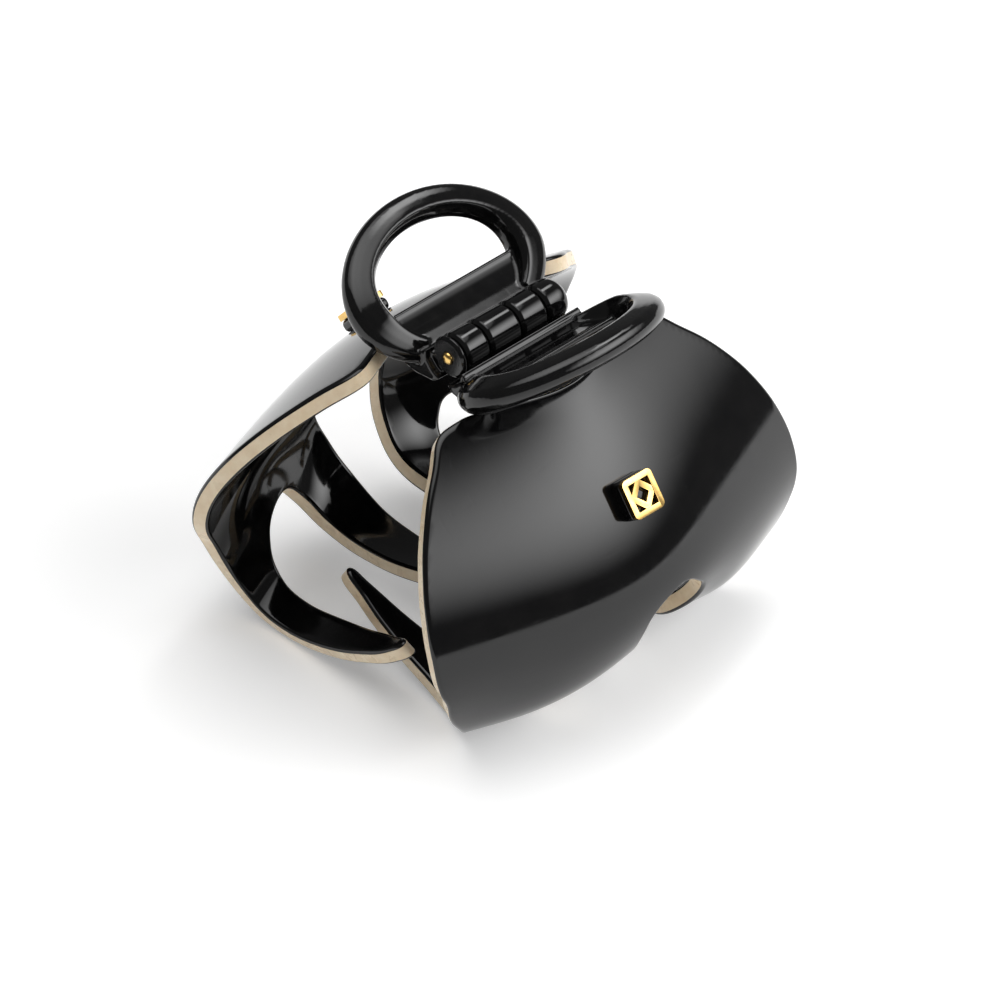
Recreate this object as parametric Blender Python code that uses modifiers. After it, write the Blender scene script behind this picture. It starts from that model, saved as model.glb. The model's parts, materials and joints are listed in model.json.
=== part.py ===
"""A claw hair clip: two formed jaws of laminated sheet on a sprung hinge with finger loops.

Metres, +Z up. The hinge axis runs along X, the back jaw is at +Y and the front jaw at -Y.
The closed clip stands on the lower edges of its jaws, on the plane Z = 0.
"""
import math

import bmesh
import bpy
import numpy as np
from mathutils import Matrix, Vector

# Driving dimensions.
MM = 0.001
OUTER_SKIN = 0.6 * MM        # black skin outside
CORE = 2.3 * MM              # cream sheet in the middle
INNER_SKIN = 0.5 * MM        # black skin inside
LAMINATE_GAP = 0.05 * MM     # bond line between two layers
SHEET = OUTER_SKIN + CORE + INNER_SKIN + 2 * LAMINATE_GAP
FIT_GAP = 0.3 * MM           # clearance between pieces that touch or slide

# The jaw's middle profile, outer face: (distance from the hinge plane, height above the axis).
JAW_PROFILE = ((19.8, -4.2), (34.3, -19.2), (42.0, -32.8), (40.7, -43.4),
               (30.4, -53.8), (12.0, -54.0), (-7.0, -48.4))
# Values at four even stations from the jaw's top edge to its tips.
JAW_HALF_WIDTH = (22.9, 44.9, 36.6, 35.0)
JAW_BOW = (9.7, 11.3, 6.9, 8.0)          # how far the sides fall back from the middle
JAW_DROOP = (1.9, -0.5, -5.3, 0.7)       # how far the sides hang below the middle
BOW_SOFTNESS = 0.2
# How far the lower half swells outward, in mm, at even stations across from side to side.
JAW_SWELL = {"back": (0.9, 0.9, -0.9, 0.9, -0.9, 0.9, -0.9, 0.9, 0.9),
             "front": (-0.5, 0.3, 1.2, -0.3, 0.6, 2.5, 2.5, 0.4, 0.0)}
SWELL_WIDTH = 96 * MM
SWELL_START, SWELL_FULL = 0.36, 0.60
BLANK_LENGTH = 101 * MM                  # the flat sheet, along the profile
# The back sheet reaches on to the shelf above its top line: the profile's run, rise and curl there.
CREST_RUN, CREST_RISE, CREST_CURL = 101.7 * MM, 88.0 * MM, 300 * MM
# Its top edge: (mm across, fraction of the length).
BACK_TOP_EDGE = ((0.0, -0.0492), (5.0, -0.0417), (10.0, -0.0229), (14.0, -0.003), (16.0, 0.0))
TOP_EDGE_REACH = 0.25                    # how far down the mesh is stretched for it

# Slot outlines in the flat blank: (mm across, fraction of the length).
BACK_MIDDLE_SLOT = ((-9.0, 0.32), (0.0, 0.27), (9.0, 0.32), (8.6, 0.43), (5.7, 0.56), (4.5, 0.66),
                    (5.2, 0.76), (6.6, 0.86), (9.2, 0.95), (11.0, 1.05), (-11.0, 1.05),
                    (-9.2, 0.95), (-6.6, 0.86), (-5.2, 0.76), (-4.5, 0.66), (-5.7, 0.56),
                    (-8.6, 0.43))
BACK_SIDE_SLOT = ((21.6, 0.54), (25.6, 0.55), (28.6, 0.60), (29.6, 0.68), (29.4, 0.76),
                  (29.2, 0.84), (30.6, 0.93), (33.5, 1.05), (12.2, 1.05), (13.4, 0.95),
                  (14.3, 0.85), (14.6, 0.75), (15.6, 0.66), (18.2, 0.58))
FRONT_TALL_SLOT = ((-5.6, 0.375), (-2.0, 0.385), (1.8, 0.42), (3.4, 0.47), (3.4, 0.54),
                   (0.6, 0.62), (-2.6, 0.70), (-4.3, 0.80), (-4.2, 0.90), (-3.0, 1.05),
                   (-25.4, 1.05), (-23.2, 0.92), (-20.6, 0.83), (-16.0, 0.76), (-11.6, 0.69),
                   (-10.4, 0.63), (-12.6, 0.56), (-12.4, 0.47), (-9.4, 0.41))
FRONT_SHORT_SLOT = ((12.5, 0.60), (15.6, 0.61), (17.8, 0.65), (19.2, 0.73), (20.6, 0.82),
                    (23.2, 0.92), (25.4, 1.05), (2.6, 1.05), (3.6, 0.95), (4.9, 0.85),
                    (6.0, 0.76), (7.4, 0.68), (9.6, 0.62))
FRONT_CORNER_CUT = ((45.0, 0.48), (39.0, 0.56), (33.0, 0.66), (29.0, 0.76), (27.9, 0.86),
                    (27.4, 0.94), (26.6, 1.05), (50.0, 1.05), (50.0, 0.48))

# Hinge: knuckles along X, left to right, with the pin through them.
KNUCKLE_RADIUS = 4.0 * MM
GROOVE_RADIUS = 3.5 * MM
BACK_KNUCKLES = ((-13.2, -11.9), (-6.0, 1.4), (8.1, 14.0))
FRONT_KNUCKLES = ((-11.6, -6.3), (1.7, 7.8))
PIN_RADIUS = 1.0 * MM
PIN_SPAN = (-13.7, 11.6)
SPRING_POCKET = (-6.2, 0.2)
SPRING_POCKET_RADIUS = 3.1 * MM
SPRING_WIRE_RADIUS = 0.35 * MM
SPRING_COIL_RADIUS = 2.3 * MM
SPRING_TURNS = 5
SPRING_SPAN = (-5.4, -0.5)
SPRING_TANG = (-7.5, 0.9)                # how far the two straight ends reach

# Finger loop, in a plane that leans outward from its foot.
LOOP_LEAN = math.radians(54.5)
LOOP_FOOT = (11.2, 0.4)                  # (out from the hinge plane, above the axis)
LOOP_HALF_WIDTH = 18.1 * MM
LOOP_HEIGHT = 13.2 * MM
LOOP_CENTRE = 4.4 * MM
LOOP_TUBE = 2.7 * MM
LOOP_WRAP = math.radians(28)             # how far each leg curls in below the middle
# Bracket body behind the barrel: its end outline, (out, up) in mm.
BRACKET_OUTLINE = ((1.0, -3.0), (2.9, -0.8), (6.5, -1.1), (10.4, 0.1), (12.8, 1.9), (12.3, -0.8),
                   (11.8, -3.4), (10.6, -6.0), (7.0, -6.6), (2.4, -6.0))
BRACKET_HALF_WIDTH = 14.4 * MM
FOOT_HALF_WIDTH = 9.0 * MM
FOOT_SPAN = (0.015, 0.17)                # along the profile
FOOT_THICKNESS = 1.8 * MM
WEB_HALF_WIDTH = 5.5 * MM
WEB_THICKNESS = 2.4 * MM
WEB_TOP = (10.8 * MM, -5.2 * MM)         # inside the body: (out, up)

# Badge on each jaw.
BADGE_PLACE = 0.155
BADGE_WIDTH = 7.0 * MM
BADGE_HEIGHT = 7.4 * MM
BADGE_BASE = 2.0 * MM
BADGE_FACE = 0.9 * MM
BADGE_RIM = 1.1 * MM
BADGE_PIN_RADIUS = 0.6 * MM
BADGE_PIN_PITCH = 3.6 * MM

GRID_ACROSS = 16
GRID_ALONG = 18

BLACK = (0.008, 0.008, 0.009, 1.0)
CREAM = (0.74, 0.62, 0.46, 1.0)
GOLD = (0.90, 0.62, 0.20, 1.0)
STEEL = (0.55, 0.55, 0.56, 1.0)

for old in list(bpy.data.objects):
    bpy.data.objects.remove(old, do_unlink=True)

parts = bpy.data.collections.new("claw_clip")
cutters = bpy.data.collections.new("cutters")
bpy.context.scene.collection.children.link(parts)
bpy.context.scene.collection.children.link(cutters)


def material(name, colour, roughness, metallic):
    made = bpy.data.materials.new(name)
    made.use_nodes = True
    shader = made.node_tree.nodes["Principled BSDF"]
    shader.inputs["Base Color"].default_value = colour
    shader.inputs["Roughness"].default_value = roughness
    shader.inputs["Metallic"].default_value = metallic
    return made


black = material("black_gloss", BLACK, 0.12, 0.0)
cream = material("cream_sheet", CREAM, 0.30, 0.0)
gold = material("polished_brass", GOLD, 0.18, 1.0)
steel = material("spring_steel", STEEL, 0.30, 1.0)


# ---------------------------------------------------------------- the formed jaw surface
def through(values):
    """A smooth curve (cubic spline) through evenly spaced values, from 0 to 1."""
    values = np.array(values)
    last = len(values) - 1
    system = np.zeros((last + 1, last + 1))
    system[0, :3] = system[last, -3:] = (1, -2, 1)
    bends = np.zeros(last + 1)
    for i in range(1, last):
        system[i, i - 1:i + 2] = (1, 4, 1)
        bends[i] = 6 * (values[i - 1] - 2 * values[i] + values[i + 1])
    bends = np.linalg.solve(system, bends)

    def at(place):
        i = min(max(int(place * last), 0), last - 1)
        t = place * last - i
        return ((1 - t) * values[i] + t * values[i + 1]
                + ((1 - t) ** 3 - (1 - t)) * bends[i] / 6 + (t ** 3 - t) * bends[i + 1] / 6)
    return at


profile_out = through([point[0] * MM for point in JAW_PROFILE])
profile_up = through([point[1] * MM for point in JAW_PROFILE])
half_width = through([width * MM for width in JAW_HALF_WIDTH])
bow = through([value * MM for value in JAW_BOW])
droop = through([value * MM for value in JAW_DROOP])


def side_fall(fraction):
    """0 at the middle and 1 at the side edge, round in the middle and straighter outside."""
    root = math.sqrt(BOW_SOFTNESS)
    return (math.sqrt(fraction ** 2 + BOW_SOFTNESS) - root) / (math.sqrt(1 + BOW_SOFTNESS) - root)


def smooth_face(across, along):
    """A point on the jaw's outer face before its lobes, from the hinge axis."""
    beyond = min(along, 0)
    along = max(along, 0)
    fall = side_fall(across / half_width(along))
    return Vector((across, profile_out(along) - bow(along) * fall + CREST_RUN * beyond,
                   profile_up(along) + droop(along) * fall - CREST_RISE * beyond
                   - CREST_CURL * beyond ** 2))


def frame_on(surface, across, along):
    """A surface's point there, and its directions across, along and outward."""
    step = 0.002
    here = surface(across, along)
    right = surface(across + step * BLANK_LENGTH, along) - surface(across - step * BLANK_LENGTH, along)
    down = surface(across, along + step) - surface(across, along - step)
    outward = right.cross(down).normalized()
    return here, right.normalized(), outward.cross(right).normalized(), outward


def face_of(jaw):
    """The outer face of one jaw, with its lower half swelling along the teeth."""
    swell = through([value * MM for value in JAW_SWELL[jaw]])

    def on_face(across, along):
        here, _, _, outward = frame_on(smooth_face, across, along)
        ramp = min(max((along - SWELL_START) / (SWELL_FULL - SWELL_START), 0), 1)
        ramp *= ramp * (3 - 2 * ramp)
        return here + outward * swell(across / SWELL_WIDTH + 0.5) * ramp
    return on_face


def form(mesh, jaw):
    """Bends a flat mesh (across, along, lift) to the jaw's shape."""
    face = face_of(jaw)
    for vert in mesh.vertices:
        here, _, _, outward = frame_on(face, vert.co.x, vert.co.y / BLANK_LENGTH)
        vert.co = here + outward * vert.co.z


# ---------------------------------------------------------------- small modelling tools
def evaluated_mesh(obj):
    """A plain mesh of what an object's modifiers make, in the object's own space."""
    bpy.context.view_layer.update()
    graph = bpy.context.evaluated_depsgraph_get()
    return bpy.data.meshes.new_from_object(obj.evaluated_get(graph), depsgraph=graph)


def add_object(name, mesh, collection, finish=None):
    mesh.name = name
    obj = bpy.data.objects.new(name, mesh)
    collection.objects.link(obj)
    if finish is not None:
        mesh.materials.clear()
        mesh.materials.append(finish)
    return obj


def settle(obj, name=None, collection=cutters):
    """Replaces a curve or a modified object by a plain welded mesh in the same place."""
    mesh = evaluated_mesh(obj)
    work = bmesh.new()
    work.from_mesh(mesh)
    bmesh.ops.remove_doubles(work, verts=work.verts, dist=0.000001)
    bmesh.ops.transform(work, matrix=obj.matrix_world, verts=work.verts)
    bmesh.ops.recalc_face_normals(work, faces=work.faces)
    work.to_mesh(mesh)
    work.free()
    label = name or obj.name
    bpy.data.objects.remove(obj, do_unlink=True)
    return add_object(label, mesh, collection)


def as_cutter(obj):
    obj.hide_render = True
    obj.display_type = "WIRE"
    return obj


def into(obj, collection):
    for home in list(obj.users_collection):
        home.objects.unlink(obj)
    collection.objects.link(obj)
    return obj


def boolean(obj, other, operation):
    step = obj.modifiers.new(operation.lower(), "BOOLEAN")
    step.operation = operation
    step.solver = "EXACT"
    step.object = other


def shape_with(obj, tool, operation):
    """Joins or cuts at once, enlarged so that fine edges stay clear of the solver's tolerance."""
    bpy.context.view_layer.update()
    enlarge = Matrix.Scale(1000, 4)
    mesh = tool.data.copy()
    mesh.transform(enlarge @ tool.matrix_world)
    twin = add_object("enlarged_tool", mesh, cutters)
    obj.data.transform(enlarge)
    boolean(obj, twin, operation)
    result = evaluated_mesh(obj)
    obj.modifiers.clear()
    work = bmesh.new()
    work.from_mesh(result)
    bmesh.ops.remove_doubles(work, verts=work.verts, dist=0.002)
    bmesh.ops.dissolve_degenerate(work, edges=work.edges, dist=0.001)
    work.to_mesh(result)
    work.free()
    result.transform(enlarge.inverted())
    obj.data = result
    bpy.data.objects.remove(twin, do_unlink=True)
    as_cutter(tool)


def outline_solid(name, points, half_thickness, smooth=True, resolution=3):
    """A flat outline in XY, extruded both ways along Z."""
    curve = bpy.data.curves.new(name, "CURVE")
    curve.dimensions = "2D"
    curve.fill_mode = "BOTH"
    curve.extrude = half_thickness
    curve.resolution_u = resolution
    if smooth:
        line = curve.splines.new("BEZIER")
        line.bezier_points.add(len(points) - 1)
        for knot, (x, y) in zip(line.bezier_points, points):
            knot.co = (x, y, 0)
            knot.handle_left_type = "AUTO"
            knot.handle_right_type = "AUTO"
    else:
        line = curve.splines.new("POLY")
        line.points.add(len(points) - 1)
        for knot, (x, y) in zip(line.points, points):
            knot.co = (x, y, 0, 1)
    line.use_cyclic_u = True
    obj = bpy.data.objects.new(name, curve)
    cutters.objects.link(obj)
    return as_cutter(settle(obj))


def rod(name, radius, start, end, sides=24, collection=cutters):
    """A cylinder along X between two places on the hinge axis, in mm."""
    length = (end - start) * MM
    bpy.ops.mesh.primitive_cylinder_add(vertices=sides, radius=radius, depth=length,
                                        rotation=(0, math.radians(90), 0),
                                        location=((start + end) / 2 * MM, 0, 0))
    obj = bpy.context.object
    obj.name = name
    bpy.ops.object.transform_apply(location=True, rotation=True, scale=True)
    return into(obj, collection)


# ---------------------------------------------------------------- laminated jaws
def cut_blank(name, outlines, top_edge):
    """The flat sheet's upper face as a mesh of triangles, with its slots and holes cut."""
    places, heights = zip(*top_edge)
    bpy.ops.mesh.primitive_grid_add(x_subdivisions=GRID_ACROSS, y_subdivisions=GRID_ALONG, size=2)
    sheet = into(bpy.context.object, cutters)
    sheet.name = name
    for vert in sheet.data.vertices:
        along = (vert.co.y + 1) / 2
        across = vert.co.x * half_width(along)
        reach = float(np.interp(abs(across) / MM, places, heights))
        along += reach * max(1 - along / TOP_EDGE_REACH, 0)
        vert.co = (across, along * BLANK_LENGTH, 0)
    thicken = sheet.modifiers.new("thicken", "SOLIDIFY")
    thicken.thickness = SHEET
    thicken.offset = 0
    for cutter in outlines:
        boolean(sheet, cutter, "DIFFERENCE")
    mesh = evaluated_mesh(sheet)
    bpy.data.objects.remove(sheet, do_unlink=True)
    work = bmesh.new()
    work.from_mesh(mesh)
    other = [face for face in work.faces if face.normal.z < 0.9]
    bmesh.ops.delete(work, geom=other, context="FACES")
    for vert in work.verts:
        vert.co.z = 0
    bmesh.ops.remove_doubles(work, verts=work.verts, dist=0.02 * MM)
    bmesh.ops.triangulate(work, faces=work.faces, quad_method="BEAUTY", ngon_method="BEAUTY")
    work.to_mesh(mesh)
    work.free()
    return mesh


def slot_cutter(name, outline, mirrored=False):
    sign = -1 if mirrored else 1
    points = [(sign * x * MM, along * BLANK_LENGTH) for x, along in outline]
    return outline_solid(name, points, 5 * MM)


def pin_hole(name, along):
    bpy.ops.mesh.primitive_cylinder_add(vertices=12, radius=BADGE_PIN_RADIUS + FIT_GAP,
                                        depth=10 * MM, location=(0, along * BLANK_LENGTH, 0))
    hole = into(bpy.context.object, cutters)
    hole.name = name
    return as_cutter(hole)


def laminate(name, jaw, blank, lift, thickness, finish):
    """One layer of the sheet: the blank thickened inward from its lift, then formed."""
    flat = add_object(name + "_flat", blank.copy(), cutters)
    layer = flat.modifiers.new("thickness", "SOLIDIFY")
    layer.thickness = thickness
    layer.offset = -1
    mesh = evaluated_mesh(flat)
    bpy.data.objects.remove(flat, do_unlink=True)
    mesh.transform(Matrix.Translation((0, 0, lift)))
    form(mesh, jaw)
    return add_object(name, mesh, parts, finish)


pin_step = BADGE_PIN_PITCH / 2 / BLANK_LENGTH
badge_holes = [pin_hole("badge_hole_upper", BADGE_PLACE - pin_step),
               pin_hole("badge_hole_lower", BADGE_PLACE + pin_step)]
back_cuts = [slot_cutter("back_middle_slot", BACK_MIDDLE_SLOT),
             slot_cutter("back_slot_right", BACK_SIDE_SLOT),
             slot_cutter("back_slot_left", BACK_SIDE_SLOT, mirrored=True)]
front_cuts = [slot_cutter("front_tall_slot", FRONT_TALL_SLOT),
              slot_cutter("front_short_slot", FRONT_SHORT_SLOT),
              slot_cutter("front_corner_right", FRONT_CORNER_CUT),
              slot_cutter("front_corner_left", FRONT_CORNER_CUT, mirrored=True)]

LAYERS = (("outer_skin", 0.0, OUTER_SKIN, black),
          ("core", -OUTER_SKIN - LAMINATE_GAP, CORE, cream),
          ("inner_skin", -OUTER_SKIN - CORE - 2 * LAMINATE_GAP, INNER_SKIN, black))
jaw_pieces = {"back": [], "front": []}
for jaw, cuts, top_edge in (("back", back_cuts, BACK_TOP_EDGE), ("front", front_cuts, ((0, 0),))):
    jaw_blank = cut_blank(jaw + "_blank", cuts + badge_holes, top_edge)
    for layer_name, lift, thickness, finish in LAYERS:
        piece = laminate(f"{jaw}_{layer_name}", jaw, jaw_blank, lift, thickness, finish)
        jaw_pieces[jaw].append(piece)


# ---------------------------------------------------------------- hinge brackets with finger loops
def knuckle(name, start, end, domed=False):
    """One barrel segment, turned about X: full in the middle and rounded into its grooves."""
    length = (end - start) * MM
    shoulder = min(0.9 * MM, length / 3)
    dome = 2.4 * MM if domed else shoulder
    outline = [(0.0, length), (GROOVE_RADIUS * (0.62 if domed else 1.0), length),
               (KNUCKLE_RADIUS * (0.93 if domed else 0.98), length - dome * 0.5),
               (KNUCKLE_RADIUS, length - dome), (KNUCKLE_RADIUS, shoulder),
               (KNUCKLE_RADIUS * 0.98, shoulder * 0.4), (GROOVE_RADIUS, 0.0), (0.0, 0.0)]
    mesh = bpy.data.meshes.new(name)
    mesh.from_pydata([(radius, 0, height) for radius, height in outline],
                     [(i, i + 1) for i in range(len(outline) - 1)], [])
    obj = add_object(name, mesh, cutters)
    turn = obj.modifiers.new("turn", "SCREW")
    turn.axis = "Z"
    turn.steps = 24
    turn.render_steps = 24
    turn.use_merge_vertices = True
    turn.merge_threshold = 0.00001
    obj.matrix_world = (Matrix.Translation((start * MM, 0, 0))
                        @ Matrix.Rotation(math.radians(90), 4, "Y"))
    bpy.context.view_layer.update()
    return as_cutter(settle(obj))


def finger_loop(name):
    """The loop's round bar, curled in at its legs where it meets the bracket."""
    curve = bpy.data.curves.new(name, "CURVE")
    curve.dimensions = "3D"
    curve.bevel_depth = LOOP_TUBE
    curve.bevel_resolution = 3
    curve.use_fill_caps = True
    line = curve.splines.new("POLY")
    count = 25
    line.points.add(count - 1)
    for i, knot in enumerate(line.points):
        turn = -LOOP_WRAP + (math.pi + 2 * LOOP_WRAP) * i / (count - 1)
        rise = LOOP_CENTRE + LOOP_HEIGHT * math.sin(turn)
        knot.co = (LOOP_HALF_WIDTH * math.cos(turn),
                   LOOP_FOOT[0] * MM + rise * math.sin(LOOP_LEAN),
                   LOOP_FOOT[1] * MM + rise * math.cos(LOOP_LEAN), 1)
    obj = bpy.data.objects.new(name, curve)
    cutters.objects.link(obj)
    return as_cutter(settle(obj))


def foot(name):
    """The flange that is cemented inside the jaw, formed to the jaw's own curve."""
    bpy.ops.mesh.primitive_grid_add(x_subdivisions=6, y_subdivisions=5, size=2)
    patch = into(bpy.context.object, cutters)
    patch.name = name
    middle = (FOOT_SPAN[0] + FOOT_SPAN[1]) / 2
    reach = (FOOT_SPAN[1] - FOOT_SPAN[0]) / 2
    for vert in patch.data.vertices:
        vert.co = (vert.co.x * FOOT_HALF_WIDTH, (middle + vert.co.y * reach) * BLANK_LENGTH, 0)
    thicken = patch.modifiers.new("thicken", "SOLIDIFY")
    thicken.thickness = FOOT_THICKNESS
    thicken.offset = -1
    solid = settle(patch)
    solid.data.transform(Matrix.Translation((0, 0, -SHEET - FIT_GAP)))
    form(solid.data, "back")
    return as_cutter(solid)


def bracket_web(name):
    """A web from the bracket's body down to its foot."""
    top = Vector((0, *WEB_TOP))
    here, _, _, outward = frame_on(smooth_face, 0, 0.09)
    bottom = here - outward * (SHEET + FOOT_THICKNESS + 0.5 * MM)
    run = bottom - top
    bpy.ops.mesh.primitive_cube_add(size=1)
    web = into(bpy.context.object, cutters)
    web.name = name
    tilt = Matrix.Rotation(math.atan2(run.z, run.y), 4, "X")
    web.matrix_world = (Matrix.Translation((top + bottom) / 2) @ tilt
                        @ Matrix.Diagonal((2 * WEB_HALF_WIDTH, run.length, WEB_THICKNESS, 1)))
    bpy.context.view_layer.update()
    return as_cutter(settle(web))


def bracket(name, own, others, flip):
    """The moulded bracket: body, foot, loop and its own knuckles, bored for the pin."""
    sign = -1 if flip else 1
    place = [tuple(sorted((sign * a, sign * b))) for a, b in own]
    room = [tuple(sorted((sign * a, sign * b))) for a, b in others]
    outline = [(y * MM, z * MM) for y, z in BRACKET_OUTLINE]
    body = outline_solid(name + "_body", outline, BRACKET_HALF_WIDTH, resolution=2)
    stand = Matrix.Rotation(math.radians(90), 4, "Z") @ Matrix.Rotation(math.radians(90), 4, "X")
    body.data.transform(stand)
    made = add_object(name, body.data.copy(), parts, black)
    for piece in (finger_loop(name + "_loop"), foot(name + "_foot"), bracket_web(name + "_web")):
        shape_with(made, piece, "UNION")
    for i, (start, end) in enumerate(room):
        clear = rod(f"{name}_room_{i}", KNUCKLE_RADIUS + 1.5 * FIT_GAP, start - 0.3, end + 0.3)
        shape_with(made, clear, "DIFFERENCE")
    for i, (start, end) in enumerate(place):
        domed = not flip and i == len(place) - 1
        shape_with(made, knuckle(f"{name}_knuckle_{i}", start, end, domed), "UNION")
    ends = sorted(sign * x for x in (PIN_SPAN[0] - 2, PIN_SPAN[1] + 0.3))
    shape_with(made, rod(name + "_bore", PIN_RADIUS + FIT_GAP, ends[0], ends[1], 20), "DIFFERENCE")
    if not flip:
        pocket = rod(name + "_pocket", SPRING_POCKET_RADIUS, SPRING_POCKET[0], SPRING_POCKET[1])
        shape_with(made, pocket, "DIFFERENCE")
    reach = SPRING_TANG[0] - 0.4 if flip else SPRING_TANG[1] + 0.4
    inner = SPRING_POCKET[0] + 0.5 if flip else SPRING_POCKET[1] - 0.5
    tang_ends = sorted((sign * reach, sign * inner))
    tang = rod(name + "_tang_hole", SPRING_WIRE_RADIUS + FIT_GAP, tang_ends[0], tang_ends[1], 12)
    tang.location.z = SPRING_COIL_RADIUS
    shape_with(made, tang, "DIFFERENCE")
    made.data.shade_smooth()
    made.data.set_sharp_from_angle(angle=math.radians(35))
    return made


back_bracket = bracket("back_bracket", BACK_KNUCKLES, FRONT_KNUCKLES, flip=False)
front_bracket = bracket("front_bracket", FRONT_KNUCKLES, BACK_KNUCKLES, flip=True)
jaw_pieces["back"].append(back_bracket)
jaw_pieces["front"].append(front_bracket)

# ---------------------------------------------------------------- hinge pin and torsion spring
pin = rod("hinge_pin", PIN_RADIUS, PIN_SPAN[0], PIN_SPAN[1], sides=20, collection=parts)
pin.data.materials.append(gold)
soften = pin.modifiers.new("rounded_ends", "BEVEL")
soften.width = 0.3 * MM
soften.segments = 2
pin.data.shade_smooth()
jaw_pieces["back"].append(pin)


def torsion_spring(name):
    """A close coil round the pin, with a straight end into each bracket."""
    curve = bpy.data.curves.new(name, "CURVE")
    curve.dimensions = "3D"
    curve.bevel_depth = SPRING_WIRE_RADIUS
    curve.bevel_resolution = 1
    curve.use_fill_caps = True
    per_turn = 12
    count = SPRING_TURNS * per_turn + 1
    route = [(SPRING_TANG[0] * MM, 0, SPRING_COIL_RADIUS)]
    for i in range(count):
        turn = 2 * math.pi * i / per_turn
        along = SPRING_SPAN[0] + (SPRING_SPAN[1] - SPRING_SPAN[0]) * i / (count - 1)
        route.append((along * MM, SPRING_COIL_RADIUS * math.sin(turn),
                      SPRING_COIL_RADIUS * math.cos(turn)))
    route.append((SPRING_TANG[1] * MM, 0, SPRING_COIL_RADIUS))
    line = curve.splines.new("POLY")
    line.points.add(len(route) - 1)
    for knot, place in zip(line.points, route):
        knot.co = (*place, 1)
    curve.materials.append(steel)
    obj = bpy.data.objects.new(name, curve)
    parts.objects.link(obj)
    return obj


jaw_pieces["back"].append(torsion_spring("torsion_spring"))


# ---------------------------------------------------------------- badges
def badge(jaw):
    """A black base and a brass face on the jaw, held by two pins through the sheet."""
    here, right, down, outward = frame_on(smooth_face, 0, BADGE_PLACE)
    turn = Matrix((right, down, outward)).transposed().to_4x4()
    seat = Matrix.Translation(here) @ turn
    corner = 1.0 * MM
    half_w, half_h = BADGE_WIDTH / 2, BADGE_HEIGHT / 2

    def plate(name, width, height, thickness, bottom, finish, collection=parts):
        bpy.ops.mesh.primitive_cube_add(size=1)
        obj = into(bpy.context.object, collection)
        obj.name = name
        obj.data.transform(Matrix.Translation((0, 0, bottom + thickness / 2))
                           @ Matrix.Diagonal((width, height, thickness, 1)))
        round_off = obj.modifiers.new("corners", "BEVEL")
        round_off.width = corner
        round_off.segments = 3
        round_off.limit_method = "WEIGHT"
        weights = obj.data.attributes.new("bevel_weight_edge", "FLOAT", "EDGE")
        for edge in obj.data.edges:
            ends = [obj.data.vertices[i].co for i in edge.vertices]
            weights.data[edge.index].value = float(abs(ends[0].z - ends[1].z) > thickness / 2)
        if finish is not None:
            obj.data.materials.append(finish)
        return obj

    def through_hole(name, y, bottom, top, radius, sides, collection=cutters):
        bpy.ops.mesh.primitive_cylinder_add(vertices=sides, radius=radius, depth=top - bottom)
        obj = into(bpy.context.object, collection)
        obj.name = name
        obj.data.transform(Matrix.Translation((0, y, (top + bottom) / 2)))
        return obj

    base = plate(f"{jaw}_badge_base", BADGE_WIDTH, BADGE_HEIGHT, BADGE_BASE, FIT_GAP, black)
    face_bottom = FIT_GAP + BADGE_BASE + FIT_GAP
    face = plate(f"{jaw}_badge_face", BADGE_WIDTH, BADGE_HEIGHT, BADGE_FACE, face_bottom, gold)
    window = plate(f"{jaw}_badge_window", BADGE_WIDTH - 2 * BADGE_RIM, BADGE_HEIGHT - 2 * BADGE_RIM,
                   4 * BADGE_FACE, face_bottom - BADGE_FACE, None, cutters)
    boolean(face, as_cutter(window), "DIFFERENCE")
    reach_w, reach_h = half_w - BADGE_RIM * 0.5, half_h - BADGE_RIM * 0.5
    lozenge = outline_solid(f"{jaw}_badge_lozenge",
                            [(reach_w, 0), (0, reach_h), (-reach_w, 0), (0, -reach_h)],
                            BADGE_FACE * 0.45, smooth=False)
    lozenge.data.transform(Matrix.Translation((0, 0, face_bottom + BADGE_FACE * 0.5)))
    boolean(face, lozenge, "UNION")
    eye = outline_solid(f"{jaw}_badge_eye", [(reach_w * 0.5, 0), (0, reach_h * 0.5),
                                             (-reach_w * 0.5, 0), (0, -reach_h * 0.5)],
                        BADGE_FACE * 2, smooth=False)
    eye.data.transform(Matrix.Translation((0, 0, face_bottom)))
    boolean(face, eye, "DIFFERENCE")
    made = [base, face]
    tools = [window, lozenge, eye]
    for label, y in (("upper", -BADGE_PIN_PITCH / 2), ("lower", BADGE_PIN_PITCH / 2)):
        blind = through_hole(f"{jaw}_badge_socket_{label}", y, -MM, 1.6 * MM,
                             BADGE_PIN_RADIUS + FIT_GAP, 12)
        boolean(base, as_cutter(blind), "DIFFERENCE")
        tools.append(blind)
        tack = through_hole(f"{jaw}_badge_pin_{label}", y, -SHEET + 0.1 * MM, 1.3 * MM,
                            BADGE_PIN_RADIUS, 12, parts)
        tack.data.materials.append(gold)
        made.append(tack)
    for obj in made + tools:
        obj.matrix_world = seat
    return made + tools


jaw_pieces["back"] += badge("back")
jaw_pieces["front"] += badge("front")

# ---------------------------------------------------------------- assembly
lowest = min(vert.co.z for vert in jaw_pieces["back"][0].data.vertices)
lowest = min(lowest, min(vert.co.z for vert in jaw_pieces["front"][0].data.vertices))
for jaw, turn in (("back", 0.0), ("front", math.pi)):
    frame = bpy.data.objects.new(jaw + "_jaw", None)
    parts.objects.link(frame)
    frame.location = (0, 0, -lowest)
    frame.rotation_euler = (0, 0, turn)
    for piece in jaw_pieces[jaw]:
        piece.parent = frame
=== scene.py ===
import json
import math

import bmesh
import bpy
import numpy as np
from mathutils import Matrix, Vector


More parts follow.
